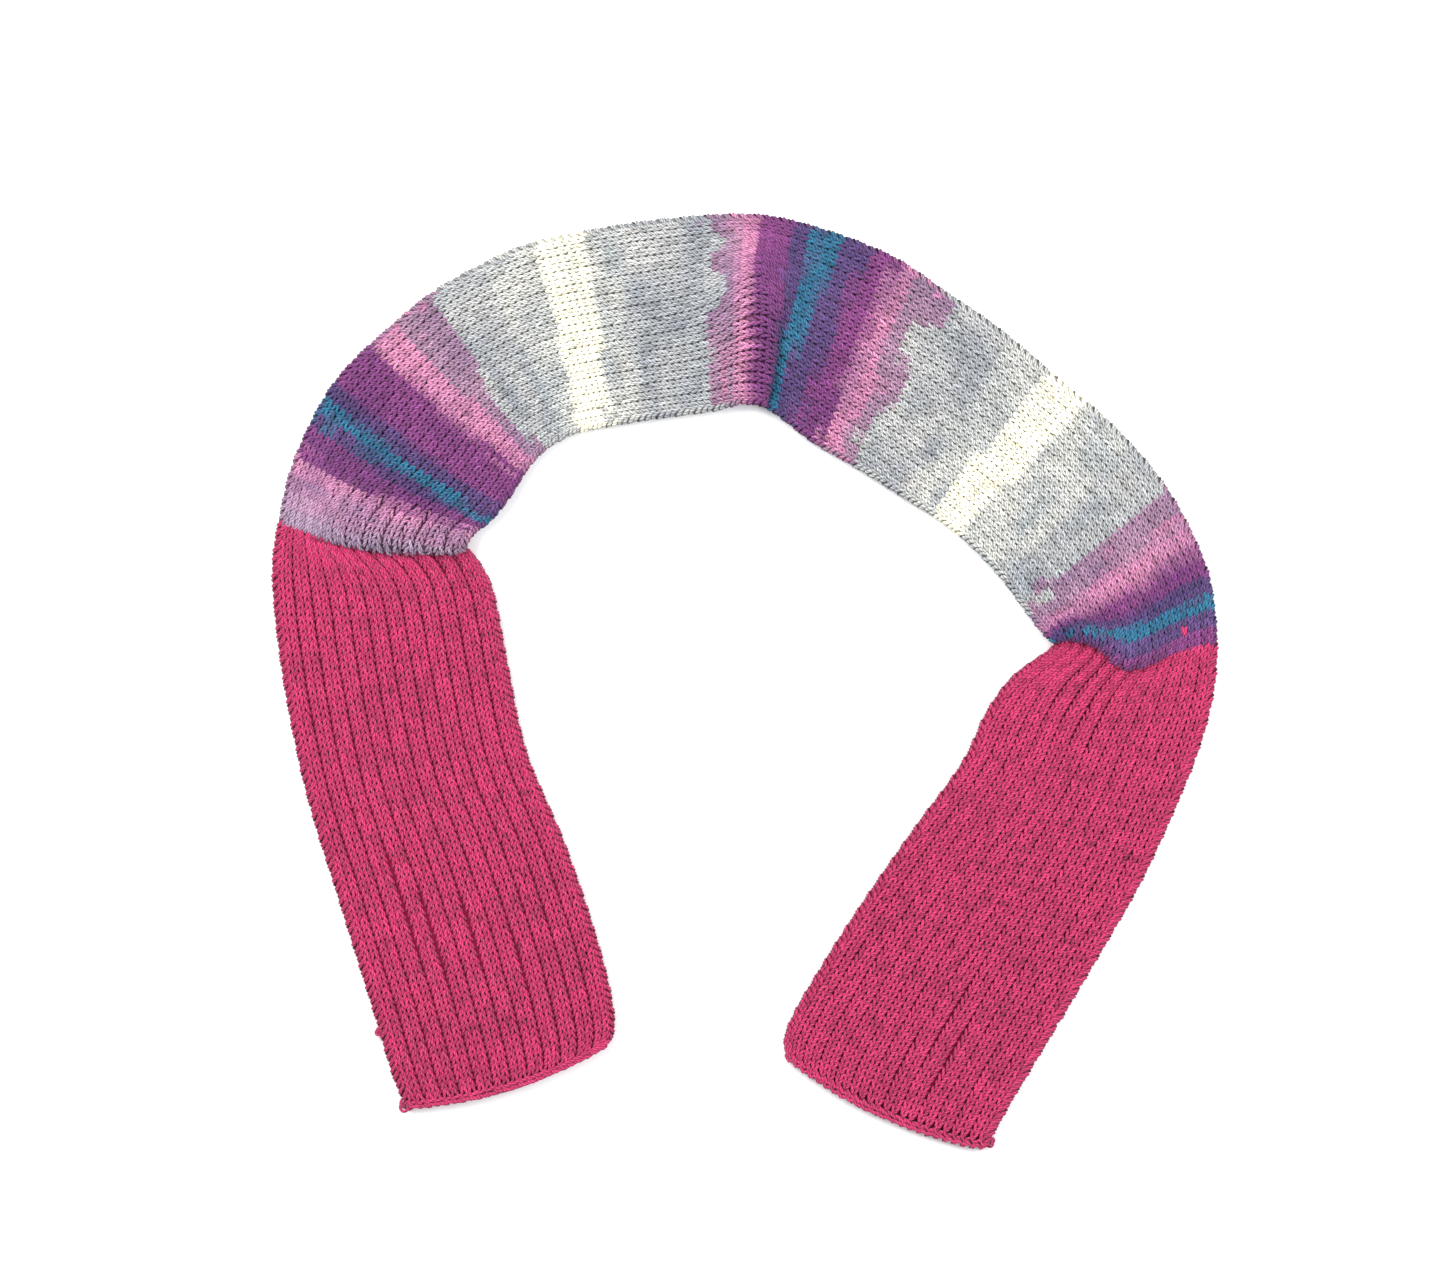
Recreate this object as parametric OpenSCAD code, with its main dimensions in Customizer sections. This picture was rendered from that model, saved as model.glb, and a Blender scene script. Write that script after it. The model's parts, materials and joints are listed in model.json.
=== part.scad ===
// Hand-knitted rib scarf, laid flat in an open horseshoe.
// +X points to the cast-on side, +Y to the crown of the horseshoe and +Z up from the surface it lies on.
// The origin is under the middle of the layout. Every stretch lies on z = 0.

/* [Fabric] */
// Thickness of the relaxed rib
fabric_t = 8; // [5:0.5:12]
// Width of the chain edge that closes each end
edge_w = 5; // [3:0.5:8]
// How far the middle of an end edge sags outward from its corners
end_bow = 8; // [0:1:12]
// Clearance between the stretches on either side of a fold
fold_gap = 0.6; // [0.2:0.1:1.5]

/* [Yarn] */
// Diameter of a knot in the yarn
knot_d = 7; // [5:0.5:8]
// Clearance between a knot and the edge beside it
knot_gap = 0.3; // [0.1:0.1:1]

/* [Layout] */
// Size of the whole layout compared with the real one
layout = 1; // [0.8:0.05:1.2]

/* [Hidden] */

magenta = [0.80, 0.20, 0.43];
purple = [0.47, 0.22, 0.53];
pink = [0.76, 0.45, 0.67];
grey = [0.70, 0.72, 0.73];

curve_step = 0.25;
bow_steps = 8;
end_lead = 0.5;
tiny = 0.0001;

// Row lines across the fabric in order, from the bind-off end to the cast-on end:
// [outer edge x, outer edge y, inner edge x, inner edge y]
ROWS = [
    [-218, -277, -90, -237],
    [-227, -259, -85, -219],
    [-242, -210, -95, -172],
    [-263, -142, -117, -106],
    [-283, -77, -142, -46],
    [-297, -12, -154, 9],
    [-305, 46, -163, 56],
    [-306, 79, -172, 76],
    [-302, 105, -181, 88],
    [-294, 139, -177, 96],
    [-277, 177, -166, 104],
    [-260, 202, -154, 118],
    [-237, 224, -140, 140],
    [-205, 251, -128, 152],
    [-172, 270, -118, 158],
    [-140, 284, -109, 162],
    [-104, 292, -89, 166],
    [-68, 298, -58, 171],
    [-29, 302, -21, 176],
    [-3, 303, -5, 180],
    [21, 301, 10, 179],
    [58, 291, 20, 174],
    [97, 275, 45, 155],
    [130, 253, 71, 140],
    [166, 228, 101, 121],
    [205, 195, 125, 106],
    [229, 175, 145, 90],
    [254, 150, 166, 68],
    [273, 126, 180, 49],
    [289, 98, 193, 32],
    [300, 71, 199, 27],
    [304, 50, 201, 24],
    [306, 24, 196, 19],
    [304, -5, 174, 3],
    [296, -38, 157, -20],
    [281, -77, 141, -53],
    [257, -129, 112, -93],
    [229, -178, 83, -134],
    [198, -230, 53, -180],
    [171, -275, 29, -222],
    [156, -303, 26, -241]
];
last_row = len(ROWS) - 1;

// Places along the fabric, counted in row lines
left_mid_fold = 3.5;
left_join = 8;
left_purple_end = 12.5;
left_grey_end = 18;
crown_fold = 20;
crown_purple_end = 23;
right_grey_end = 28;
right_join = 32;
right_mid_fold = 36;
selvedge_knot_at = 1.7;
cast_on_knot_at = 39.75;

// Smooth curve through the row lines
function catmull(a, b, c, d, t) =
    (2 * b + (c - a) * t + (2 * a - 5 * b + 4 * c - d) * t * t + (3 * b - a - 3 * c + d) * t * t * t) / 2;
function row_at(s) =
    let(i = min(max(floor(s), 0), last_row - 1))
    layout * catmull(ROWS[max(i - 1, 0)], ROWS[i], ROWS[i + 1], ROWS[min(i + 2, last_row)], s - i);
function outer_at(s) = let(r = row_at(s)) [r[0], r[1]];
function inner_at(s) = let(r = row_at(s)) [r[2], r[3]];
// Unit vector square to a row line, towards the cast-on end
function along(s) = let(c = inner_at(s) - outer_at(s)) [-c[1], c[0]] / norm(c);
// A point on a row line that is moved along the fabric by shift and bowed by bow at its middle
function on_row(s, u, shift, bow) =
    outer_at(s) * (1 - u) + inner_at(s) * u + along(s) * (shift + 4 * bow * u * (1 - u));
function row_line(s, shift, bow) = [for (k = [0 : bow_steps]) on_row(s, k / bow_steps, shift, bow)];
function between(s0, s1) =
    [for (s = [floor(s0 / curve_step + 1 + tiny) * curve_step : curve_step : s1 - tiny]) s];

// A flat slab of fabric from row line s0 to s1, with gaps and bows at its two ends. Beside a bowed end
// the edges have no points of their own for end_lead row lines.
module stretch(s0, s1, gap0 = 0, gap1 = 0, bow0 = 0, bow1 = 0) {
    path = between(bow0 == 0 ? s0 : s0 + end_lead, bow1 == 0 ? s1 : s1 - end_lead);
    start = bow0 == 0 ? [on_row(s0, 0, gap0, 0), on_row(s0, 1, gap0, 0)] : row_line(s0, gap0, bow0);
    finish = bow1 == 0 ? [on_row(s1, 0, -gap1, 0), on_row(s1, 1, -gap1, 0)] : row_line(s1, -gap1, bow1);
    outline = concat(
        [for (k = [len(start) - 1 : -1 : 0]) start[k]],
        [for (s = path) outer_at(s)],
        finish,
        [for (k = [len(path) - 1 : -1 : 0]) inner_at(path[k])]
    );
    linear_extrude(fabric_t) polygon(outline);
}

// The chain of stitches that closes an end, a strip on the far side of the end row of the rib
module chain_edge(s, outward) {
    inside = row_line(s, -outward * edge_w, outward * end_bow);
    outside = row_line(s, 0, outward * end_bow);
    linear_extrude(fabric_t)
        polygon(concat(inside, [for (k = [bow_steps : -1 : 0]) outside[k]]));
}

// A knot in the yarn that stands off a corner or an edge at point p, in direction d
module knot(p, d) {
    translate([p[0], p[1], 0])
        translate([d[0], d[1], 0] / norm(d) * (knot_d / 2 + knot_gap))
            translate([0, 0, knot_d / 2]) sphere(d = knot_d, $fn = 32);
}

module bind_off_edge() { color(magenta) chain_edge(0, -1); }
module bind_off_knot() { color(magenta) knot(outer_at(0), [-1, -1]); }
module selvedge_knot() { color(magenta) knot(outer_at(selvedge_knot_at), [-1, -0.3]); }
module left_end_rib() {
    color(magenta) stretch(0, left_mid_fold, gap0 = edge_w, gap1 = fold_gap / 2, bow0 = -end_bow);
}
module left_leg_rib() {
    color(magenta) stretch(left_mid_fold, left_join, gap0 = fold_gap / 2, gap1 = fold_gap / 2);
}
module left_purple_band() { color(purple) stretch(left_join, left_purple_end, gap0 = fold_gap / 2); }
module left_grey_band() { color(grey) stretch(left_purple_end, left_grey_end); }
module crown_pink_band() { color(pink) stretch(left_grey_end, crown_fold, gap1 = fold_gap / 2); }
module crown_purple_band() { color(purple) stretch(crown_fold, crown_purple_end, gap0 = fold_gap / 2); }
module right_grey_band() { color(grey) stretch(crown_purple_end, right_grey_end); }
module right_purple_band() { color(purple) stretch(right_grey_end, right_join, gap1 = fold_gap / 2); }
module right_leg_rib() {
    color(magenta) stretch(right_join, right_mid_fold, gap0 = fold_gap / 2, gap1 = fold_gap / 2);
}
module right_end_rib() {
    color(magenta) stretch(right_mid_fold, last_row, gap0 = fold_gap / 2, gap1 = edge_w, bow1 = end_bow);
}
module cast_on_edge() { color(magenta) chain_edge(last_row, 1); }
module cast_on_knot() { color(magenta) knot(outer_at(cast_on_knot_at), [1, -0.5]); }

bind_off_edge();
bind_off_knot();
selvedge_knot();
left_end_rib();
left_leg_rib();
left_purple_band();
left_grey_band();
crown_pink_band();
crown_purple_band();
right_grey_band();
right_purple_band();
right_leg_rib();
right_end_rib();
cast_on_edge();
cast_on_knot();
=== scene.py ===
"""Hand-knitted rib scarf, laid flat in an open horseshoe on a white surface.

The fabric is a 2 by 2 rib. Each face shows pairs of knit wales with a groove between the pairs, and every
stitch is its own pair of yarn legs. A row line s runs from 0 at the bind-off end to 40 at the cast-on end, as
in the CAD model, and u runs from 0 at the outer edge of the horseshoe to 1 at the inner edge.
Shapes are worked out in millimetres and become metres when a mesh is made.
"""
import json
import math

import bpy
import numpy as np
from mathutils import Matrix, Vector


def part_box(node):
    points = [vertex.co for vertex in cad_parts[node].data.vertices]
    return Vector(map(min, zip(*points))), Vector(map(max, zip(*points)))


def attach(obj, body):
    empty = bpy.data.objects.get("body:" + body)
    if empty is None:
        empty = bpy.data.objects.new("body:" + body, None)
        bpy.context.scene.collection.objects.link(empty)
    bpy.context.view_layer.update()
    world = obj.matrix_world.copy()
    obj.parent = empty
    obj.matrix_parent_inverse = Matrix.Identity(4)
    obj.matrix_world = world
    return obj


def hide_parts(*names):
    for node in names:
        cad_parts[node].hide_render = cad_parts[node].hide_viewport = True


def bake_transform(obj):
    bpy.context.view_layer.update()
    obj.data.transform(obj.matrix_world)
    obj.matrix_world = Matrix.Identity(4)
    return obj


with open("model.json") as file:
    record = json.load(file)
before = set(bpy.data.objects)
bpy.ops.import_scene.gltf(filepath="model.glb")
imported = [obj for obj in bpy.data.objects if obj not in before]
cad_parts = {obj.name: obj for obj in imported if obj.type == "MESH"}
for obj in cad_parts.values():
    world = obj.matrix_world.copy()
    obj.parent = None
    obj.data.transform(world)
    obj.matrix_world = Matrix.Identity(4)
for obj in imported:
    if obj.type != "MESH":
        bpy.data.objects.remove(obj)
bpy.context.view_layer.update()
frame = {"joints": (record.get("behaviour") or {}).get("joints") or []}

MM = 0.001
SEED = 20

# ---------------------------------------------------------------- fabric sizes, in millimetres
RIB_LOW, RIB_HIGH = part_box("left_leg_rib")
FABRIC_T = (RIB_HIGH.z - RIB_LOW.z) / MM
MIDDLE = FABRIC_T / 2
YARN_R = 1.08
ROW_PITCH = 4.85
# Width of the fabric as it lies in the legs
LAID_W = 140
# Depth of the chain edge at each end, and width of the edge stitches along each side
EDGE_W = 5
SELVEDGE_W = 2.2
# Thickness of the sheet between the stitches of the two faces
CORE_T = 1.2
# How high a fold stands over the flat fabric, and the lower hump beside it
FOLD_H = 8.3
SHOULDER_H = 3.0

# ---------------------------------------------------------------- places on the fabric
WALES = 24
# Share of the width where the rows are counted
ROW_COUNT_AT = 0.3
SELVEDGE_SHARE = SELVEDGE_W / LAID_W
PAIR = (1 - 2 * SELVEDGE_SHARE) / (WALES // 2)
# Row lines of the colour joins, of the grey bands' far ends and of the crease in the crown
LEFT_JOIN = 8
RIGHT_JOIN = 32
LEFT_GREY_END = 18
RIGHT_GREY_END = 28
CROWN_CREASE = 20.35

# Row lines across the fabric, the same as in the CAD model, in millimetres:
# [outer edge x, outer edge y, inner edge x, inner edge y]
ROWS = np.array([
    [-218, -277, -90, -237],
    [-227, -259, -85, -219],
    [-242, -210, -95, -172],
    [-263, -142, -117, -106],
    [-283, -77, -142, -46],
    [-297, -12, -154, 9],
    [-305, 46, -163, 56],
    [-306, 79, -172, 76],
    [-302, 105, -181, 88],
    [-294, 139, -177, 96],
    [-277, 177, -166, 104],
    [-260, 202, -154, 118],
    [-237, 224, -140, 140],
    [-205, 251, -128, 152],
    [-172, 270, -118, 158],
    [-140, 284, -109, 162],
    [-104, 292, -89, 166],
    [-68, 298, -58, 171],
    [-29, 302, -21, 176],
    [-3, 303, -5, 180],
    [21, 301, 10, 179],
    [58, 291, 20, 174],
    [97, 275, 45, 155],
    [130, 253, 71, 140],
    [166, 228, 101, 121],
    [205, 195, 125, 106],
    [229, 175, 145, 90],
    [254, 150, 166, 68],
    [273, 126, 180, 49],
    [289, 98, 193, 32],
    [300, 71, 199, 27],
    [304, 50, 201, 24],
    [306, 24, 196, 19],
    [304, -5, 174, 3],
    [296, -38, 157, -20],
    [281, -77, 141, -53],
    [257, -129, 112, -93],
    [229, -178, 83, -134],
    [198, -230, 53, -180],
    [171, -275, 29, -222],
    [156, -303, 26, -241],
], float)
LAST = len(ROWS) - 1

# How far the middle of a row line bows towards the cast-on end: (row line, millimetres)
BOWS = [
    (0, -8), (1, -6), (2, -2), (3, 0), (5, 0), (6, -2), (7, -5), (8, -8), (9, -5), (10, -1), (11, 0),
    (28, 0), (29, 1), (30, 3), (31, 5), (32, 5), (33, 4), (34, 2), (35, 0), (37, 0), (38, 3), (39, 7),
    (40, 9),
]

# ---------------------------------------------------------------- small numeric helpers


def smooth(x, low, high):
    """0 below low, 1 above high, and an even S between them."""
    t = np.clip((x - low) / (high - low), 0, 1)
    return t * t * (3 - 2 * t)


def bell(x, below, above):
    """A bell of height 1 at x = 0, with its own width on each side."""
    return np.exp(-((x / np.where(x < 0, below, above)) ** 2))


def unit(v):
    """Vectors scaled to length 1."""
    return v / np.maximum(np.linalg.norm(v, axis=-1, keepdims=True), 1e-9)


def row_line(s):
    """The outer and inner edge points of row line s, on a smooth curve through ROWS."""
    s = np.asarray(s, float)
    i = np.clip(np.floor(s).astype(int), 0, LAST - 1)
    t = (s - i)[..., None]
    a, b, c, d = (ROWS[np.clip(i + k, 0, LAST)] for k in (-1, 0, 1, 2))
    p = (2 * b + (c - a) * t + (2 * a - 5 * b + 4 * c - d) * t**2 + (3 * b - a - 3 * c + d) * t**3) / 2
    return p[..., :2], p[..., 2:]


def flat_point(s, u):
    """A point of the fabric before any folds, and the level direction towards the cast-on end there."""
    outer, inner = row_line(s)
    chord = inner - outer
    along = unit(np.stack([-chord[..., 1], chord[..., 0]], -1))
    bow = np.interp(s, *zip(*BOWS))
    u = np.asarray(u, float)[..., None]
    return outer * (1 - u) + inner * u + along * (4 * bow[..., None] * u * (1 - u)), along


def roll(x, steep, gentle):
    """A rolled fold, 1 high at x = 0: it drops like a half ellipse for negative x and as a bell beyond 0."""
    round_side = np.sqrt(np.clip(1 - (x / steep) ** 2, 0, 1))
    return np.where(x < 0, round_side, np.exp(-((x / gentle) ** 2)))


# ---------------------------------------------------------------- the three places where the scarf buckles
# Each returns (lift, lean): how far the fabric stands up, and how far it leans towards the cast-on end.


def left_join_fold(s, u):
    """The band above the left join bulges and rolls over the magenta leg, more towards the inner edge."""
    share = smooth(u, 0.06, 0.4)
    ripple = 0.11 * np.abs(np.sin(np.pi * (u - SELVEDGE_SHARE) / PAIR))
    fold = roll(s - LEFT_JOIN - 0.7 + ripple, 0.7, 0.6)
    shoulder = bell(s - LEFT_JOIN - 2.7, 0.7, 1.4)
    lean = -4.0 * share * fold
    return share * (FOLD_H * fold + SHOULDER_H * shoulder), lean


def crown_pleat(s, u):
    """Left of the crown the fabric rises to a ridge and drops into a crease that reaches the inner edge."""
    share = smooth(u, 0.2, 0.6)
    crease = CROWN_CREASE - 0.25 * smooth(u, 0.8, 1.0)
    fold = roll(crease - 0.6 - s, 0.55, 1.1)
    shoulder = bell(s - CROWN_CREASE - 1.05, 0.6, 1.2)
    lean = 3.5 * share * fold
    return share * (FOLD_H * fold + SHOULDER_H / 2 * shoulder), lean


def right_join(u):
    """Row line of the right join. Near the inner edge the fold swallows the rows before it."""
    return RIGHT_JOIN - 2.2 * smooth(u, 0.55, 1.0)


def right_join_fold(s, u):
    """The band above the right join bulges over the magenta leg and sags most near the middle."""
    share = smooth(u, 0.2, 0.45) * (1 - 0.35 * smooth(u, 0.8, 1.0))
    join = right_join(u)
    fold = roll(join - 0.62 - s, 0.62, 0.5)
    shoulder = bell(s - join + 2.4, 1.2, 0.6)
    sag = 6 * bell(u - 0.52, 0.17, 0.2) * bell(s - join, 1.0, 1.3)
    lean = 3.0 * share * fold
    return share * (FOLD_H * fold + SHOULDER_H * shoulder), lean + sag


def gathers(s, u):
    """Beside the folds the ribs are drawn into small ridges and grooves."""
    by_left = bell(s - LEFT_JOIN + 0.4, 1.0, 0.5) * smooth(u, 0.2, 0.5)
    by_crown = bell(s - CROWN_CREASE + 1.35, 1.4, 0.5) * smooth(u, 0.3, 0.6)
    by_right = bell(s - right_join(u) - 0.4, 0.5, 1.6) * smooth(u, 0.3, 0.6)
    curl = bell(s - LEFT_JOIN - 0.7, 0.4, 1.0) * smooth(u, 0.15, 0.4)
    ridge = -np.cos(2 * np.pi * (u - SELVEDGE_SHARE) / PAIR)
    pairs = (1.2 * by_left + 0.6 * by_crown + 1.2 * by_right) * (0.6 + ridge)
    return pairs + 1.2 * curl * ridge


def slow_waves(s, u):
    """Very slight unevenness of hand-knitted fabric lying on a surface."""
    return 0.35 * (1 + np.sin(1.7 * s + 4 * u)) * (0.5 + 0.5 * np.sin(5.3 * u - 0.6 * s))


def surface(s, u, ribbed=True):
    """The middle of the fabric's thickness at row line s and share u, with or without its gathers."""
    s, u = np.broadcast_arrays(np.asarray(s, float), np.asarray(u, float))
    point, along = flat_point(s, u)
    lifts, leans = zip(*(fold(s, u) for fold in (left_join_fold, crown_pleat, right_join_fold)))
    point = point + along * sum(leans)[..., None]
    height = MIDDLE + sum(lifts) + slow_waves(s, u) + ribbed * gathers(s, u)
    return np.concatenate([point, height[..., None]], -1)


def off_surface(s, u, height, along=0.0, across=0.0):
    """A point at a height off the middle surface, moved along a wale and across it by millimetres, and the
    surface's normal there."""
    ds, du = 0.02, 0.004
    here = surface(s, u)
    to_cast_on = unit(surface(s + ds, u, False) - surface(s - ds, u, False))
    to_inner = unit(surface(s, u + du, False) - surface(s, u - du, False))
    normal = unit(np.cross(to_inner, to_cast_on))
    point = here + normal * np.asarray(height)[..., None]
    point = point + to_cast_on * np.asarray(along)[..., None] + to_inner * np.asarray(across)[..., None]
    return point, normal


# ---------------------------------------------------------------- where the rows lie


def fabric_end(s, inward):
    """The row line EDGE_W inside an end, which leaves room for the chain edge."""
    step = 0.5
    here, _ = flat_point(np.asarray(float(s)), np.asarray(0.5))
    there, _ = flat_point(np.asarray(s + step * inward), np.asarray(0.5))
    return s + inward * step * EDGE_W / np.linalg.norm(here - there)


FIRST_S, LAST_S = fabric_end(0, 1), fabric_end(LAST, -1)


def run_length(u, s):
    """Length along the fabric at share u up to each row line in s."""
    p = surface(s, np.full_like(s, u))
    return np.concatenate([[0], np.cumsum(np.linalg.norm(np.diff(p, axis=0), axis=1))])


FINE_S = np.linspace(FIRST_S, LAST_S, 1600)
ROW_LENGTH = run_length(ROW_COUNT_AT, FINE_S)
ROW_TOTAL = int(round(ROW_LENGTH[-1] / ROW_PITCH))


def even_rows(u, spread=9):
    """Row line of each row at share u. Rows that crowd together at a fold are spread along the wale."""
    row_s = np.interp(np.linspace(0, ROW_LENGTH[-1], ROW_TOTAL + 1), ROW_LENGTH, FINE_S)
    length = run_length(u, FINE_S)
    at_rows = np.interp(row_s, FINE_S, length)
    pitch = np.diff(at_rows)
    window = np.exp(-((np.arange(-3 * spread, 3 * spread + 1) / spread) ** 2) / 2)
    padded = np.pad(pitch, 3 * spread, mode="edge")
    even = np.convolve(padded, window / window.sum(), mode="valid")
    run = np.concatenate([[0], np.cumsum(even)])
    run *= at_rows[-1] / run[-1]
    return np.interp(run, length, FINE_S)


SHARES = np.linspace(0, 1, 25)
ROW_TABLE = np.stack([even_rows(u) for u in SHARES])


def row_place(row, u):
    """Row line for a fractional row number at share u, straight on past both ends."""
    col = np.clip(u, 0, 1) * (len(SHARES) - 1)
    c0 = np.clip(np.floor(col).astype(int), 0, len(SHARES) - 2)
    r = np.clip(row, 0, ROW_TOTAL)
    r0 = np.clip(np.floor(r).astype(int), 0, ROW_TOTAL - 1)
    fc, fr = col - c0, r - r0
    near = ROW_TABLE[c0, r0] * (1 - fr) + ROW_TABLE[c0, r0 + 1] * fr
    far = ROW_TABLE[c0 + 1, r0] * (1 - fr) + ROW_TABLE[c0 + 1, r0 + 1] * fr
    pitch = ROW_TABLE[c0, r0 + 1] - ROW_TABLE[c0, r0]
    return near * (1 - fc) + far * fc + (row - r) * pitch


# ---------------------------------------------------------------- where the wales lie

# Grooves between pairs that are pulled open: (pair number, first row line, last row line, millimetres)
OPEN_GROOVES = [
    (3, 2.1, 3.5, 1.5), (4, 1.9, 3.1, 1.7), (6, 1.9, 3.0, 1.4), (8, 1.6, 2.6, 0.9),
    (8, 6.6, 7.9, 0.9), (9, 6.5, 7.9, 1.0), (10, 6.6, 8.0, 1.0),
    (8, 32.2, 34.0, 1.2), (9, 32.2, 33.8, 1.2), (7, 32.4, 34.4, 1.0), (6, 32.6, 34.6, 0.8),
    (4, 37.9, 39.3, 1.5), (5, 37.5, 38.9, 1.3), (6, 38.2, 39.4, 0.8),
]


def pulled(s, u):
    """Shares u with the wales drawn back from the open grooves, and towards the outer edge by the folds."""
    moved = np.array(u, float)
    for pair, start, end, width in OPEN_GROOVES:
        groove = SELVEDGE_SHARE + pair * PAIR
        length = smooth(s, start, start + 0.4) * (1 - smooth(s, end - 0.4, end))
        push = np.tanh((u - groove) * 60) * np.exp(-np.abs(u - groove) / (0.6 * PAIR))
        moved = moved + length * push * width / LAID_W
    drawn = 0.13 * bell(s - LEFT_JOIN - 0.3, 1.1, 1.2) + 0.17 * bell(s - CROWN_CREASE + 0.75, 1.3, 0.9)
    return moved - drawn * np.sin(np.pi * np.clip(moved, 0, 1)) ** 2


def wale_centre(wale, spacing):
    """Share of a wale's middle. The two wales of a pair stand spacing pair widths apart."""
    pair, side = np.divmod(wale, 2)
    return SELVEDGE_SHARE + PAIR * (pair + 0.5 + (side - 0.5) * spacing)


# ---------------------------------------------------------------- colours


def colour(red, green, blue):
    """A linear colour from 0 to 255 display values."""
    c = np.array([red, green, blue]) / 255
    return np.where(c <= 0.04045, c / 12.92, ((c + 0.055) / 1.055) ** 2.4)


MAGENTA = colour(163, 42, 84)
MAUVE = colour(136, 106, 129)
MAUVE_GREY = colour(140, 117, 139)
PINK = colour(164, 107, 138)
LAVENDER = colour(141, 102, 131)
PURPLE = colour(105, 51, 101)
INDIGO = colour(74, 55, 98)
TEAL = colour(38, 91, 118)
GREY = colour(149, 150, 151)
LIGHT_GREY = colour(164, 165, 162)
CREAM = colour(231, 225, 202)

# The dye along the yarn: each colour holds from its first to its last row line and blends into the next
DYE = [
    (0, 7.95, MAGENTA),
    (8.0, 8.25, MAUVE_GREY), (8.6, 8.9, LAVENDER), (9.05, 9.1, PINK), (9.35, 9.55, PURPLE),
    (9.7, 9.8, INDIGO), (9.92, 10.12, TEAL), (10.25, 10.5, INDIGO), (10.75, 11.6, PURPLE), (11.9, 12.2, PINK),
    (12.3, 12.85, MAUVE), (12.95, 13.9, GREY), (14.2, 15.08, LIGHT_GREY), (15.12, 15.98, CREAM),
    (16.03, 16.4, LIGHT_GREY), (16.8, 18.25, GREY), (18.35, 18.75, MAUVE), (18.95, 19.2, PINK),
    (19.5, 20.15, PURPLE), (20.35, 20.6, INDIGO), (20.72, 20.98, TEAL), (21.1, 21.45, INDIGO),
    (21.65, 22.0, PURPLE), (22.2, 22.4, PINK), (22.5, 22.9, MAUVE), (23.0, 24.1, GREY),
    (24.2, 24.78, LIGHT_GREY), (24.82, 25.68, CREAM), (25.72, 26.8, LIGHT_GREY), (27.1, 28.05, GREY),
    (28.15, 28.65, MAUVE), (28.8, 29.15, PINK), (29.6, 29.9, PURPLE), (30.15, 30.6, INDIGO),
    (30.75, 31.0, TEAL), (31.15, 31.5, INDIGO), (31.6, 31.95, PURPLE), (32.0, 40, MAGENTA),
]
DYE_PLACE = np.array([s for first, last, _ in DYE for s in (first, last)])
DYE_COLOUR = np.array([c for _, _, c in DYE for _ in (0, 1)])

# Row lines by which the dye's place shifts over one row, in patches, and in islands
ROW_STEP = 0.18
PATCH_STEP = 0.11
ISLAND_STEP = 0.6

# Row lines where islands of one dye stand in the next
ISLANDS = [12.9, 18.3, 22.9, 28.1]

# The dye's places that the striped yarn keeps between, so that its ends never take the magenta
STRIPED_FROM, STRIPED_TO = LEFT_JOIN + 0.02, RIGHT_JOIN - 0.06

# Row line and share of the one magenta stitch that shows in the band before the right join
FLECK_S, FLECK_U = 31.35, 0.19

# How much lighter or darker patches of each yarn are, and how much of that reaches red, green and blue
MAGENTA_MOTTLE, STRIPED_MOTTLE = 0.06, 0.2
MOTTLE_TINT = np.array([1.2, 1.0, 0.7])


def patches(row, wale, rows, wales, rng):
    """Slow noise from -1 to 1 over the fabric, with patches of about rows by wales stitches."""
    grid = rng.uniform(-1, 1, (int((ROW_TOTAL + 4) / rows) + 3, int((WALES + 4) / wales) + 3))
    i, j = (row + 1) / rows, (wale + 1) / wales
    i0, j0 = i.astype(int), j.astype(int)
    fi, fj = smooth(i - i0, 0, 1), smooth(j - j0, 0, 1)
    near = grid[i0, j0] * (1 - fj) + grid[i0, j0 + 1] * fj
    far = grid[i0 + 1, j0] * (1 - fj) + grid[i0 + 1, j0 + 1] * fj
    return near * (1 - fi) + far * fi


def dye(s, u, row, wale, rng):
    """Colour of each stitch. The rows go back and forth, so a dye changes part way along a row."""
    back_and_forth = np.where(row % 2 == 0, wale, WALES - 1 - wale) / WALES - 0.5
    near_island = sum(np.exp(-(((s - at) / 0.4) ** 2)) for at in ISLANDS)
    island = patches(row, wale, 3.2, 3.6, rng) * near_island
    join = right_join(u)
    pressed = smooth(s, 28.6, join) * (RIGHT_JOIN - join)
    slant = 0.3 * (u - 0.4) * bell(s - CROWN_CREASE - 0.45, 1.2, 1.2)
    place = s + ROW_STEP * back_and_forth + ISLAND_STEP * island + pressed + slant
    place = place + PATCH_STEP * patches(row, wale, 1.8, 2.4, rng)
    magenta_side = (s < STRIPED_FROM) | (s > join)
    fleck = (np.abs(s - FLECK_S) < 0.09) & (np.abs(u - FLECK_U) < 0.25 * PAIR)
    place = np.where(s < STRIPED_FROM, s, np.clip(place, STRIPED_FROM, STRIPED_TO))
    place = np.where((s > join) | fleck, 0, place)
    rgb = np.stack([np.interp(place, DYE_PLACE, DYE_COLOUR[:, k]) for k in range(3)], -1)
    mottle = np.where(magenta_side, MAGENTA_MOTTLE, STRIPED_MOTTLE) * patches(row, wale, 2.6, 4.5, rng)
    return rgb * (1 + mottle[..., None] * MOTTLE_TINT)


# ---------------------------------------------------------------- meshes


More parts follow.
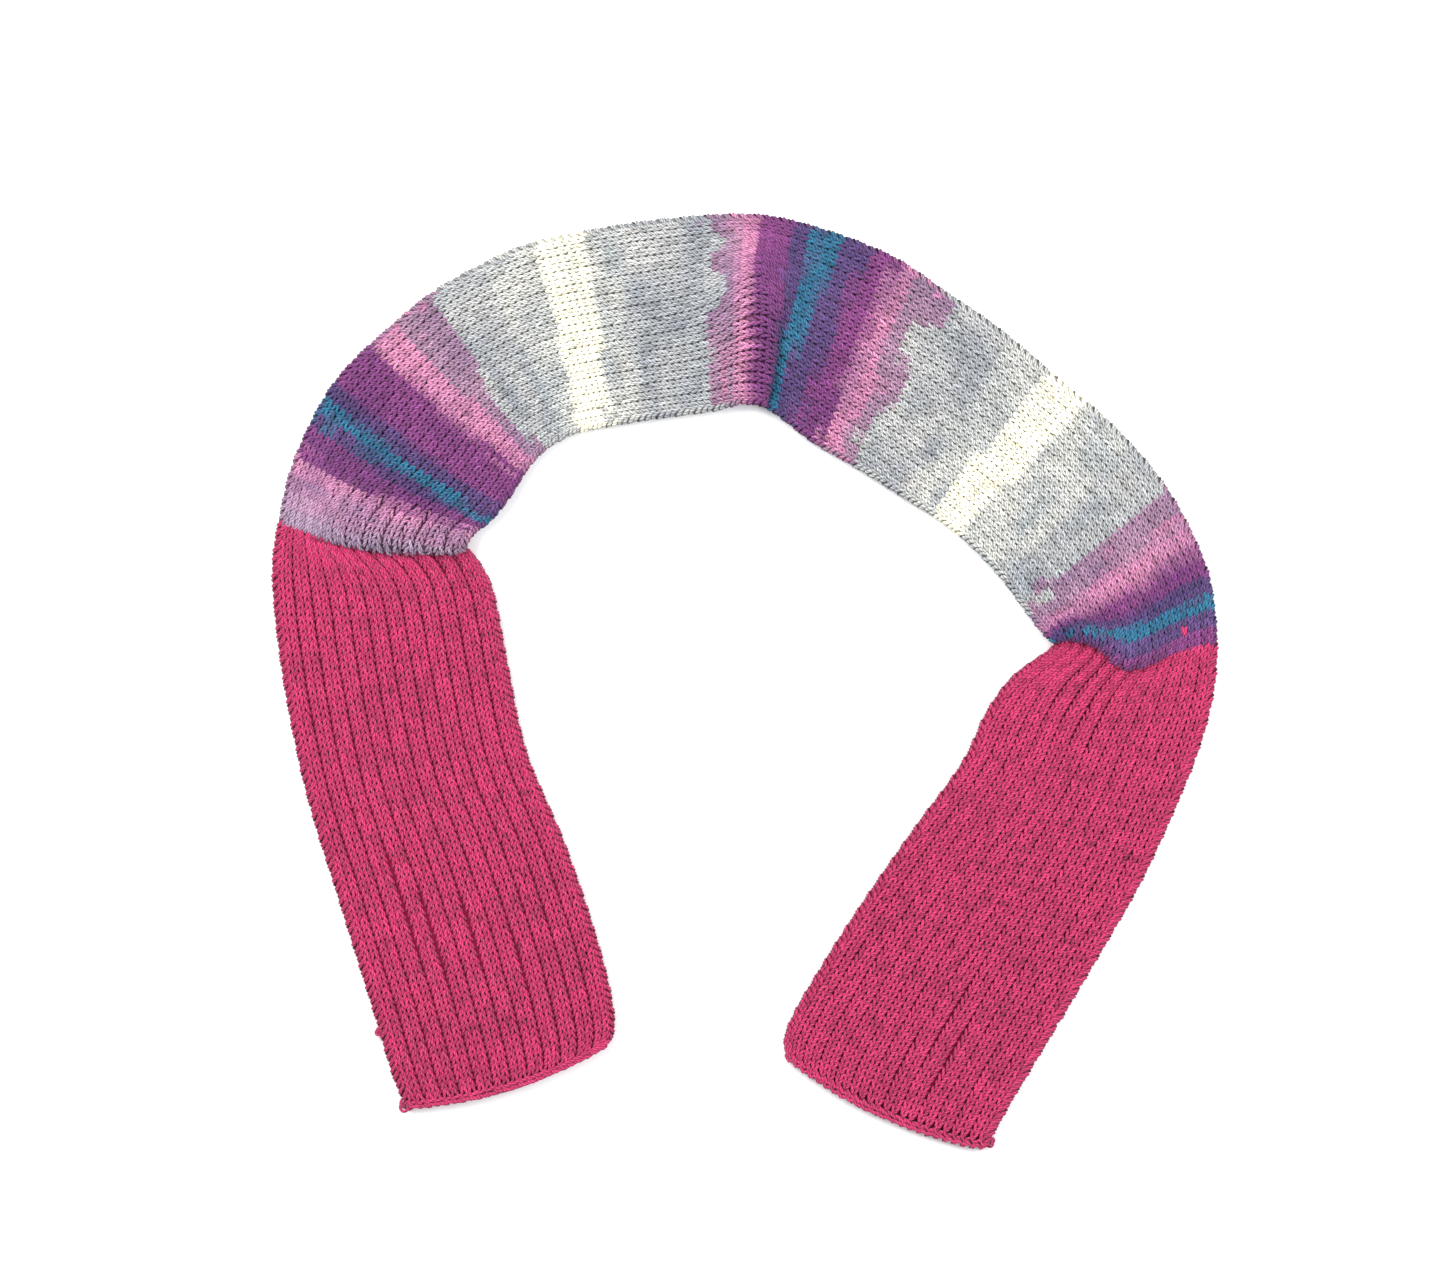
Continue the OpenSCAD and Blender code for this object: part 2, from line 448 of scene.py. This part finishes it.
def mesh_object(name, points, quads, rgb, uv=None):
    """A smooth mesh from points in millimetres, with a colour for each point."""
    mesh = bpy.data.meshes.new(name)
    mesh.vertices.add(len(points))
    mesh.vertices.foreach_set("co", (points * MM).astype(np.float32).ravel())
    mesh.loops.add(quads.size)
    mesh.loops.foreach_set("vertex_index", quads.astype(np.int32).ravel())
    mesh.polygons.add(len(quads))
    mesh.polygons.foreach_set("loop_start", np.arange(0, quads.size, 4, dtype=np.int32))
    mesh.update(calc_edges=True)
    mesh.polygons.foreach_set("use_smooth", np.ones(len(quads), bool))
    layer = mesh.color_attributes.new("dye", "FLOAT_COLOR", "POINT")
    rgba = np.concatenate([np.clip(rgb, 0, 1), np.ones((len(rgb), 1))], -1)
    layer.data.foreach_set("color", rgba.astype(np.float32).ravel())
    if uv is not None:
        mesh.uv_layers.new(name="yarn").data.foreach_set("uv", uv.astype(np.float32).ravel())
    made = bpy.data.objects.new(name, mesh)
    bpy.context.scene.collection.objects.link(made)
    return made


def ring_angles(sides):
    """Angles of a tube's sides, counted from one flank over the crest."""
    return 2 * np.pi * (np.arange(sides) + 0.5) / sides


def tubes(points, normals, radius, sides, start):
    """Yarn tubes with open ends, which other yarn hides. points and normals are (tube, ring, xyz), radius is
    (tube, ring), and start is how far along its yarn each tube begins. No tube goes below the surface the
    scarf lies on. Returns vertices, quads and a UV for each corner: the way round and millimetres of yarn."""
    count, rings = points.shape[:2]
    points = np.concatenate([points[..., :2], np.maximum(points[..., 2], radius)[..., None]], -1)
    tangent = unit(np.gradient(points, axis=1))
    side = unit(np.cross(tangent, normals))
    up = np.cross(side, tangent)
    angle = ring_angles(sides)
    ring = np.cos(angle)[:, None] * side[:, :, None] + np.sin(angle)[:, None] * up[:, :, None]
    vertices = (points[:, :, None] + ring * radius[:, :, None, None]).reshape(-1, 3)
    tube, k, j = np.meshgrid(np.arange(count), np.arange(rings - 1), np.arange(sides), indexing="ij")
    first = (tube * rings + k) * sides
    turn = (j + 1) % sides
    quads = np.stack([first + j, first + sides + j, first + sides + turn, first + turn], -1).reshape(-1, 4)
    steps = np.linalg.norm(np.diff(points, axis=1), axis=-1)
    run = np.concatenate([np.zeros((count, 1)), np.cumsum(steps, axis=1)], 1) + start[:, None]
    low, high = run[tube, k], run[tube, k + 1]
    u0, u1 = j / sides, (j + 1) / sides
    uv = np.stack([u0, low, u0, high, u1, high, u1, low], -1).reshape(-1, 2)
    return vertices, quads, uv


def join_parts(parts):
    """One set of vertices, quads, UVs and colours from several."""
    offset, out = 0, [[], [], [], []]
    for vertices, quads, uv, rgb in parts:
        out[0].append(vertices)
        out[1].append(quads + offset)
        out[2].append(uv)
        out[3].append(rgb)
        offset += len(vertices)
    return [np.concatenate(x) for x in out]


# ---------------------------------------------------------------- stitches
# One leg of a V, from its foot between the legs of the stitch below to where it turns to the back:
# across as a share of LEG_SPREAD, along in rows, height as a share of LEG_H, and girth
LEG_ACROSS = np.array([0.02, 0.08, 0.19, 0.31, 0.42, 0.45])
LEG_ALONG = np.array([-0.42, -0.12, 0.3, 0.75, 1.14, 1.4])
LEG_RISE = np.array([0.0, 0.62, 1.0, 1.06, 0.84, 0.1])
LEG_GIRTH = np.array([0.55, 0.92, 1.06, 1.06, 0.92, 0.5])
LEG_H = 2.6
LEG_SPREAD = 0.475 * PAIR
# How far a leg beside a groove reaches, and a leg inside a pair, and how deep the inner one sinks
GROOVE_LEG, INNER_LEG = 1.05, 0.85
INNER_SINK = 0.5
SHADE_SPREAD = 0.13

# How the wales pair up: distance between the wales of a pair as a share of a pair, and depth of a groove
LEFT_RIB = (0.435, 1.2)
STRIPED_RIB = (0.457, 0.85)
RIGHT_RIB = (0.455, 0.95)

# Painted shade along a leg: how light its colour is at each of its points, darker where it goes in under its
# neighbours and shade falls
LEG_PAINTED_SHADE = np.array([0.68, 0.93, 1.06, 1.08, 1.0, 0.7])
# Painted shade down the flanks of each strand, and a painted highlight on its crest
FLANK_PAINTED_SHADE = 0.66
CREST_PAINTED_HIGHLIGHT = 1.12


def strand_colours_painted_shade(rgb, along, sides):
    """A colour for each vertex of tubes(): one colour for each tube, with painted shade down the flanks of
    the strand and at its ends as along gives, and a painted highlight on its crest.
    """
    crest = np.clip(np.sin(ring_angles(sides)), 0, 1)
    around = FLANK_PAINTED_SHADE + (CREST_PAINTED_HIGHLIGHT - FLANK_PAINTED_SHADE) * crest
    shade = along[:, None] * around
    return (rgb[:, None, None] * shade[None, :, :, None]).reshape(-1, 3)


def stitches(first_row, last_row, face, sides, rib, rng):
    """The knit stitches of rows first_row to last_row on one face: 1 for the upper face, -1 for the lower.
    The lower face's pairs lie behind the upper face's grooves."""
    row, wale = np.meshgrid(np.arange(first_row, last_row), np.arange(WALES), indexing="ij")
    row, wale = row.ravel(), wale.ravel()
    place = wale if face > 0 else wale - 1
    spacing, groove_depth = rib
    middle = wale_centre(place, spacing) + (0 if face > 0 else PAIR / 2)
    s_here = row_place(row + 0.5, middle)
    rgb = dye(s_here, middle, row, wale, rng)
    in_pair = place % 2
    parts = []
    for leg in (-1, 1):
        n = len(row)
        slack = rng.normal(0, 1, (n, 3))
        by_groove = (leg < 0) == (in_pair == 0)
        reach = np.where(by_groove, GROOVE_LEG, INNER_LEG)[:, None]
        across = reach * LEG_ACROSS + 0.02 * slack[:, :1]
        along = LEG_ALONG + 0.05 * slack[:, 1:2]
        u = middle[:, None] + leg * across * LEG_SPREAD
        s = row_place(row[:, None] + 1 - along, u)
        sink = np.where(by_groove, groove_depth, INNER_SINK)[:, None] * smooth(across, 0.05, 0.42)
        height = face * (LEG_H * LEG_RISE + 0.2 - sink + 0.12 * slack[:, 2:3])
        points, normals = off_surface(s, pulled(s, u), height)
        radius = YARN_R * LEG_GIRTH * (1 + 0.05 * slack[:, 1:2])
        vertices, quads, uv = tubes(points, normals * face, radius, sides, rng.uniform(0, 20, n))
        shade = (1 + SHADE_SPREAD * rng.normal(0, 1, n))[:, None] * rgb
        # Painted shade at the leg's ends and down its flanks, and a painted highlight on its crest
        parts.append((vertices, quads, uv, strand_colours_painted_shade(shade, LEG_PAINTED_SHADE, sides)))
    return parts


# One selvedge loop, from the upper face round the edge to the lower face: its turn in radians from the
# level, place in rows and girth. Every third loop or so stands out by up to LOOP_UNEVEN more.
LOOP_STEPS = np.linspace(0, 1, 8)
LOOP_TURN = np.radians(125 * np.cos(np.pi * LOOP_STEPS))
LOOP_ALONG = 1.7 - 2.4 * LOOP_STEPS
LOOP_GIRTH = np.array([0.5, 1.0, 1.2, 1.35, 1.35, 1.2, 1.0, 0.5])
LOOP_REACH, LOOP_INSET, LOOP_H = 1.9, 2.0, 2.3
LOOP_UNEVEN = 0.4


def selvedges(first_row, last_row, sides, rng):
    """The slanting edge stitches that wrap round both long sides, one for every row."""
    parts = []
    for edge, out in ((0.0, -1), (1.0, 1)):
        row = np.arange(first_row, last_row)
        n = len(row)
        slack = rng.normal(0, 1, (n, 2))
        u = np.full((n, len(LOOP_STEPS)), edge)
        s = row_place(row[:, None] + LOOP_ALONG + 0.06 * slack[:, :1], u)
        uneven = LOOP_UNEVEN * np.sin(row * 2.1)[:, None] * (np.cos(LOOP_TURN) > 0)
        reach = LOOP_REACH * np.cos(LOOP_TURN) - LOOP_INSET + uneven
        height = LOOP_H * np.sin(LOOP_TURN) + 0.1 * slack[:, 1:]
        points, normals = off_surface(s, u, height, across=out * reach)
        outward = unit(points - surface(s, u) + 1e-6 * normals)
        radius = YARN_R * LOOP_GIRTH * (1 + 0.05 * slack[:, :1])
        vertices, quads, uv = tubes(points, outward, radius, sides, rng.uniform(0, 20, n))
        wale = np.full(n, 0 if edge == 0 else WALES - 1)
        rgb = dye(s[:, 3], np.full(n, edge), row, wale, rng)
        # Painted shade down each loop's flanks, and a painted highlight on its crest
        parts.append((vertices, quads, uv, strand_colours_painted_shade(rgb, np.ones(len(LOOP_STEPS)), sides)))
    return parts


# How far the core stops inside the edges, as a share of the width, and the painted shade that darkens the dye
# on it, for the shade in the holes between stitches
CORE_INSET = 0.005
CORE_PAINTED_SHADE, CORE_SHADE_POWER = 0.72, 1.2


def core_sheet(name, first_row, last_row, rng):
    """The thin body of the fabric that the stitches of both faces grow from, a closed sheet. Its colour is
    the dye darkened as painted shade, seen in the holes between stitches.
    """
    rows = np.arange(first_row, last_row + 0.5)
    shares = np.linspace(CORE_INSET, 1 - CORE_INSET, 2 * WALES + 1)
    r, u = np.meshgrid(rows, shares, indexing="ij")
    s = row_place(r, u)
    sides = []
    for face in (1, -1):
        points, _ = off_surface(s, u, np.full_like(s, face * CORE_T / 2))
        sides.append(points.reshape(-1, 3))
    nr, nu = r.shape
    i, j = np.meshgrid(np.arange(nr - 1), np.arange(nu - 1), indexing="ij")
    a = (i * nu + j).ravel()
    top = np.stack([a, a + 1, a + nu + 1, a + nu], -1)
    low = top[:, ::-1] + nr * nu
    rim = np.concatenate([
        np.arange(nu - 1),
        np.arange(nu - 1, nr * nu - 1, nu),
        np.arange(nr * nu - 1, nr * nu - nu, -1),
        np.arange(nr * nu - nu, 0, -nu),
    ])
    ahead = np.roll(rim, -1)
    wall = np.stack([rim, rim + nr * nu, ahead + nr * nu, ahead], -1)
    points = np.concatenate(sides)
    wale = np.clip(u * WALES, 0, WALES - 1).astype(int)
    # Painted shade: the dye darkened for the shade that falls between the stitches
    rgb = CORE_PAINTED_SHADE * dye(s, u, r.astype(int), wale, rng).reshape(-1, 3) ** CORE_SHADE_POWER
    return mesh_object(name, points, np.concatenate([top, low, wall]), np.concatenate([rgb, rgb]))


# The chain edges: how far a chain stands outside its end row, the half width and height of its links, their
# girth against a stitch's, and how much a link's tone varies
CHAIN_OUT = 1.5
LINK_HALF_W, LINK_H = 4.4, 2.2
LINK_GIRTH = 1.15
LINK_SIDES = 6
LINK_SHADE_SPREAD = 0.08


def chain(end_s, outward, face, scallop, rng):
    """One face of the chain along an end of the scarf, as V legs that run across the fabric. It bulges
    outward by scallop millimetres at each wale."""
    link = np.arange(WALES)
    parts = []
    for leg in (-1, 1):
        slack = rng.normal(0, 1, (WALES, 2))
        u = 0.01 + 0.98 * np.clip((link[:, None] + LEG_ALONG) / WALES, -0.01, 1.01)
        s = np.full_like(u, end_s)
        wave = scallop * np.abs(np.sin(np.pi * u * WALES))
        spread = leg * (0.2 + LINK_HALF_W * LEG_ACROSS)
        reach = outward * (CHAIN_OUT + wave + spread + 0.2 * slack[:, :1])
        height = face * (LINK_H * LEG_RISE + 0.2 + 0.15 * slack[:, 1:2])
        points, normals = off_surface(s, u, height, along=reach)
        radius = LINK_GIRTH * YARN_R * LEG_GIRTH * (1 + 0.04 * slack[:, :1])
        vertices, quads, uv = tubes(points, normals * face, radius, LINK_SIDES, rng.uniform(0, 20, WALES))
        rgb = MAGENTA * (1 + LINK_SHADE_SPREAD * rng.normal(0, 1, (WALES, 1)))
        # Painted shade at each link's ends and down its flanks, and a painted highlight on its crest
        parts.append((vertices, quads, uv, strand_colours_painted_shade(rgb, LEG_PAINTED_SHADE, LINK_SIDES)))
    return parts


# The knots: girth of their yarn against a stitch's, and how far they are pulled in to the edge
KNOT_GIRTH = 0.85
KNOT_PULL = 0.6


def knot(node, near, bulk, rng):
    """A small knot of yarn near a CAD knot's place and bulk times its size, with the short ends that tie it
    to the edge at (s, u) near."""
    low, high = (np.array(p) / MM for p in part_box(node))
    edge = surface(*near)
    centre, size = (low + high) / 2, bulk * (high - low).min() / 2
    centre[:2] += KNOT_PULL * (edge - centre)[:2]
    girth = KNOT_GIRTH * YARN_R
    t = np.linspace(0, 2 * np.pi, 49)
    spin = rng.uniform(0, 2 * np.pi)
    around = (0.9 + 0.42 * np.cos(3 * t)) * np.stack([np.cos(2 * t + spin), np.sin(2 * t + spin)])
    points = np.stack([*around, 0.8 * np.sin(3 * t)], -1) * (size - girth) * 0.74 + centre
    radius = np.full((1, len(t)), girth)
    parts = [tubes(points[None], unit(points - centre)[None], radius, 10, np.zeros(1))]
    share = np.linspace(0, 1, 7)[:, None]
    for side in (-1, 1):
        swing = np.array([0, 0, 1.3 * side]) * np.sin(np.pi * share)
        end = edge * (1 - share) + centre * share + swing
        away = np.broadcast_to([0.0, 0.0, 1.0], end.shape)
        parts.append(tubes(end[None], away[None], np.full((1, len(share)), girth), 8, np.zeros(1)))
    parts = [(*part, np.repeat(MAGENTA[None], len(part[0]), axis=0)) for part in parts]
    vertices, quads, uv, rgb = join_parts(parts)
    return mesh_object("yarn_" + node, vertices, quads, rgb, uv)


# ---------------------------------------------------------------- materials


def new_material(name):
    """A material with a shader at its output, and the functions that add nodes and link them."""
    material = bpy.data.materials.new(name)
    material.use_nodes = True
    tree = material.node_tree
    tree.nodes.clear()

    def add(kind, **settings):
        node = tree.nodes.new(kind)
        for key, value in settings.items():
            setattr(node, key, value)
        return node

    shader = add("ShaderNodeBsdfPrincipled")
    out = add("ShaderNodeOutputMaterial")
    tree.links.new(shader.outputs["BSDF"], out.inputs["Surface"])
    return material, shader, add, tree.links.new


PLIES = 3
# Turns of the plies in a millimetre of yarn
PLY_TURNS = 0.42
FIBRE_SCALE = 900
BUMP_STRENGTH = 0.7
BUMP_DISTANCE = 0.0004


def yarn_material(name, dark, light, roughness, sheen, fibre):
    """Plied yarn: the twist of the plies bumps the strand and paints its colour, with painted shade in the
    grooves between the plies and a painted highlight on their crests, and fine fibres break it up.
    """
    material, shader, add, link = new_material(name)
    place = add("ShaderNodeUVMap", uv_map="yarn")
    split = add("ShaderNodeSeparateXYZ")
    link(place.outputs["UV"], split.inputs["Vector"])
    plies = add("ShaderNodeMath", operation="MULTIPLY")
    plies.inputs[1].default_value = PLIES
    link(split.outputs["X"], plies.inputs[0])
    turns = add("ShaderNodeMath", operation="MULTIPLY_ADD")
    turns.inputs[1].default_value = PLY_TURNS
    link(split.outputs["Y"], turns.inputs[0])
    link(plies.outputs[0], turns.inputs[2])
    phase = add("ShaderNodeMath", operation="MULTIPLY")
    phase.inputs[1].default_value = 2 * math.pi
    link(turns.outputs[0], phase.inputs[0])
    wave = add("ShaderNodeMath", operation="SINE")
    link(phase.outputs[0], wave.inputs[0])
    ply = add("ShaderNodeMapRange")
    ply.inputs["From Min"].default_value = -1
    ply.inputs["From Max"].default_value = 0.7
    link(wave.outputs[0], ply.inputs["Value"])

    where = add("ShaderNodeTexCoord")
    fibres = add("ShaderNodeTexNoise")
    fibres.inputs["Scale"].default_value = FIBRE_SCALE
    fibres.inputs["Detail"].default_value = 3
    link(where.outputs["Object"], fibres.inputs["Vector"])
    tone = add("ShaderNodeMath", operation="MULTIPLY_ADD")
    tone.inputs[1].default_value = fibre
    link(fibres.outputs["Fac"], tone.inputs[0])
    link(ply.outputs["Result"], tone.inputs[2])

    # Painted shade and painted highlight: the ply wave scales the dye from dark in the grooves between plies
    # to light on their crests
    ramp = add("ShaderNodeMapRange")
    ramp.inputs["From Min"].default_value = fibre * 0.3
    ramp.inputs["From Max"].default_value = 1 + fibre * 0.7
    ramp.inputs["To Min"].default_value = dark
    ramp.inputs["To Max"].default_value = light
    link(tone.outputs[0], ramp.inputs["Value"])
    dyed = add("ShaderNodeVertexColor", layer_name="dye")
    shade = add("ShaderNodeVectorMath", operation="SCALE")
    link(dyed.outputs["Color"], shade.inputs[0])
    link(ramp.outputs["Result"], shade.inputs["Scale"])
    link(shade.outputs["Vector"], shader.inputs["Base Color"])

    bump = add("ShaderNodeBump")
    bump.inputs["Strength"].default_value = BUMP_STRENGTH
    bump.inputs["Distance"].default_value = BUMP_DISTANCE
    link(tone.outputs[0], bump.inputs["Height"])
    link(bump.outputs["Normal"], shader.inputs["Normal"])
    shader.inputs["Roughness"].default_value = roughness
    shader.inputs["Sheen Weight"].default_value = sheen
    shader.inputs["Sheen Roughness"].default_value = 0.45
    shader.inputs["Specular IOR Level"].default_value = 0.25
    return material


def core_material(name):
    """The shaded inside of the fabric, seen between stitches."""
    material, shader, add, link = new_material(name)
    dyed = add("ShaderNodeVertexColor", layer_name="dye")
    link(dyed.outputs["Color"], shader.inputs["Base Color"])
    shader.inputs["Roughness"].default_value = 0.95
    shader.inputs["Specular IOR Level"].default_value = 0.1
    return material


def plain_material(name, rgb, roughness):
    """One colour all over."""
    material, shader, _, _ = new_material(name)
    shader.inputs["Base Color"].default_value = (*rgb, 1)
    shader.inputs["Roughness"].default_value = roughness
    return material


# The yarn of each material slot: painted shade in the grooves between plies and painted highlight on the
# plies, roughness, sheen and strength of the fibres
YARNS = {
    "magenta_yarn": yarn_material("plied_magenta", 0.5, 1.5, 0.8, 0.15, 0.5),
    "striped_yarn": yarn_material("plied_striped", 0.55, 1.45, 0.85, 0.12, 0.4),
}
FABRIC_CORE = core_material("fabric_core")

# ---------------------------------------------------------------- pieces
# Row lines where the crossing of one joint ends and that of the next begins
LEFT_LEG, LEFT_MIDDLE, RIGHT_MIDDLE, RIGHT_LEG = 5.75, 13, 25.5, 34

# The crossing of each joint: bodies before and after it along the scarf, row lines of its ends, slot
CROSSINGS = {
    "left_leg_fold": ("left_end", "left_leg", 0, LEFT_LEG, "magenta_yarn"),
    "left_join_fold": ("left_leg", "left_middle", LEFT_LEG, LEFT_MIDDLE, "striped_yarn"),
    "crown_fold": ("left_middle", "right_middle", LEFT_MIDDLE, RIGHT_MIDDLE, "striped_yarn"),
    "right_join_fold": ("right_middle", "right_leg", RIGHT_MIDDLE, RIGHT_LEG, "striped_yarn"),
    "right_leg_fold": ("right_leg", "right_end", RIGHT_LEG, LAST, "magenta_yarn"),
}
# The lengths of knitting in each crossing: name, first and last row line, slot, rib, CAD nodes it replaces
LENGTHS = {
    "left_leg_fold": [("left_end", 0, LEFT_LEG, "magenta_yarn", LEFT_RIB, ["left_end_rib"])],
    "left_join_fold": [
        ("left_gather", LEFT_LEG, LEFT_JOIN, "magenta_yarn", LEFT_RIB, ["left_leg_rib"]),
        ("left_purple", LEFT_JOIN, LEFT_MIDDLE, "striped_yarn", STRIPED_RIB, ["left_purple_band"]),
    ],
    "crown_fold": [
        ("left_grey", LEFT_MIDDLE, LEFT_GREY_END, "striped_yarn", STRIPED_RIB, ["left_grey_band"]),
        (
            "crown", LEFT_GREY_END, RIGHT_MIDDLE, "striped_yarn", STRIPED_RIB,
            ["crown_pink_band", "crown_purple_band"],
        ),
    ],
    "right_join_fold": [
        ("right_grey", RIGHT_MIDDLE, RIGHT_GREY_END, "striped_yarn", STRIPED_RIB, ["right_grey_band"]),
        ("right_purple", RIGHT_GREY_END, RIGHT_JOIN, "striped_yarn", STRIPED_RIB, ["right_purple_band"]),
        ("right_gather", RIGHT_JOIN, RIGHT_LEG, "magenta_yarn", RIGHT_RIB, ["right_leg_rib"]),
    ],
    "right_leg_fold": [("right_end", RIGHT_LEG, LAST, "magenta_yarn", RIGHT_RIB, ["right_end_rib"])],
}
# The fold under which each end's chain and knots are listed
END_FOLDS = {"left_end": "left_leg_fold", "right_end": "right_leg_fold"}
# Sides of the yarn tubes of the upper and lower faces
UPPER_SIDES = 6
LOWER_SIDES = 5


def rows_between(first, last):
    """Numbers of the rows that lie nearest two row lines at the middle of the fabric."""
    return [int(np.argmin(np.abs(ROW_TABLE[len(SHARES) // 2] - s))) for s in (first, last)]


def bend_over(made, joint_name):
    """Finds the direction square to a joint's axis that points along the scarf, and bakes the piece's
    transform into its mesh.
    """
    before, after, first, last, _ = CROSSINGS[joint_name]
    joint = next(j for j in frame["joints"] if j["name"] == joint_name)
    pos, axis = Vector(joint["pos_m"]), Vector(joint["axis"])
    square = Vector((-axis.y, axis.x, 0)).normalized()
    towards = surface(np.array([float(first), float(last)]), np.array([0.5, 0.5]))
    if square.dot(Vector(towards[1] - towards[0])) < 0:
        square = -square
    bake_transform(made)


def dress(made, slot, material=None):
    """Gives a piece a material, the slot's own yarn unless another is named."""
    made.data.materials.append(material or YARNS[slot])


def carry(made, body, node):
    """Fixes a magenta piece at an end of the scarf to the body there, in place of a CAD node."""
    dress(made, "magenta_yarn")
    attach(made, body)
    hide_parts(node)
    yarn_pieces[END_FOLDS[body]].append(made)


rng = np.random.default_rng(SEED)
yarn_pieces = {name: [] for name in CROSSINGS}
for joint_name, lengths in LENGTHS.items():
    for name, first, last, slot, rib, nodes in lengths:
        rows = rows_between(first, last)
        parts = stitches(*rows, 1, UPPER_SIDES, rib, rng) + selvedges(*rows, UPPER_SIDES, rng)
        vertices, quads, uv, rgb = join_parts(parts)
        upper = mesh_object(name + "_upper_stitches", vertices, quads, rgb, uv)
        vertices, quads, uv, rgb = join_parts(stitches(*rows, -1, LOWER_SIDES, rib, rng))
        lower = mesh_object(name + "_lower_stitches", vertices, quads, rgb, uv)
        for made in (upper, lower):
            dress(made, slot)
            bend_over(made, joint_name)
            yarn_pieces[joint_name].append(made)
        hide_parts(*nodes)

# The chains that close the two ends: CAD node, body, end row line, way out and depth of the scallops
for node, body, end_s, outward, scallop in (
    ("bind_off_edge", "left_end", FIRST_S, -1, 0.9),
    ("cast_on_edge", "right_end", LAST_S, 1, 2.9),
):
    parts = [part for face in (1, -1) for part in chain(end_s, outward, face, scallop, rng)]
    vertices, quads, uv, rgb = join_parts(parts)
    carry(mesh_object("yarn_" + node, vertices, quads, rgb, uv), body, node)

# The knots: CAD node, body, row line and share of the edge each is tied into, and size against the CAD's
for node, body, near, bulk in (
    ("bind_off_knot", "left_end", (0.45, 0.01), 1.6),
    ("selvedge_knot", "left_end", (1.7, 0.012), 1.0),
    ("cast_on_knot", "right_end", (39.75, 0.012), 1.2),
):
    carry(knot(node, near, bulk, rng), body, node)

for joint_name, (_, _, first, last, slot) in CROSSINGS.items():
    rows = rows_between(first, last)
    core = core_sheet(joint_name.replace("_fold", "_core"), *rows, rng)
    dress(core, slot, FABRIC_CORE)
    bend_over(core, joint_name)

# ---------------------------------------------------------------- surface, light and camera, in metres
FLOOR_HALF = 4.0
FLOOR_GAP = 0.0005
LIGHT_SIZE = 1.6


def area_light(name, place, power):
    """A soft square light that shines on the middle of the scarf."""
    data = bpy.data.lights.new(name, "AREA")
    data.size, data.energy = LIGHT_SIZE, power
    made = bpy.data.objects.new(name, data)
    made.location = place
    made.rotation_euler = (-Vector(place)).to_track_quat("-Z", "Y").to_euler()
    bpy.context.scene.collection.objects.link(made)


corners = [(x * FLOOR_HALF, y * FLOOR_HALF, 0) for x, y in ((-1, -1), (1, -1), (1, 1), (-1, 1))]
floor_mesh = bpy.data.meshes.new("floor")
floor_mesh.from_pydata(corners, [], [(0, 1, 2, 3)])
floor = bpy.data.objects.new("floor", floor_mesh)
floor.location.z = -FLOOR_GAP
floor.data.materials.append(plain_material("white_surface", (0.93, 0.93, 0.93), 0.9))
bpy.context.scene.collection.objects.link(floor)

world = bpy.data.worlds.new("studio")
world.use_nodes = True
background = world.node_tree.nodes["Background"]
background.inputs["Color"].default_value = (0.95, 0.97, 1.0, 1)
background.inputs["Strength"].default_value = 0.78
bpy.context.scene.world = world
area_light("key", (-1.5, 1.3, 1.8), 80)
area_light("fill", (1.7, 0.3, 1.8), 48)

VIEW_CENTRE = Vector((-0.0146, 0.0325, 0))
VIEW_WIDTH = 0.939
CAMERA_HEIGHT = 3.0
camera_data = bpy.data.cameras.new("camera")
camera_data.sensor_width = 36
camera_data.lens = camera_data.sensor_width * CAMERA_HEIGHT / VIEW_WIDTH
camera = bpy.data.objects.new("camera", camera_data)
camera.location = VIEW_CENTRE + Vector((0, 0, CAMERA_HEIGHT))
bpy.context.scene.collection.objects.link(camera)
bpy.context.scene.camera = camera
bpy.context.scene.view_settings.view_transform = "Standard"
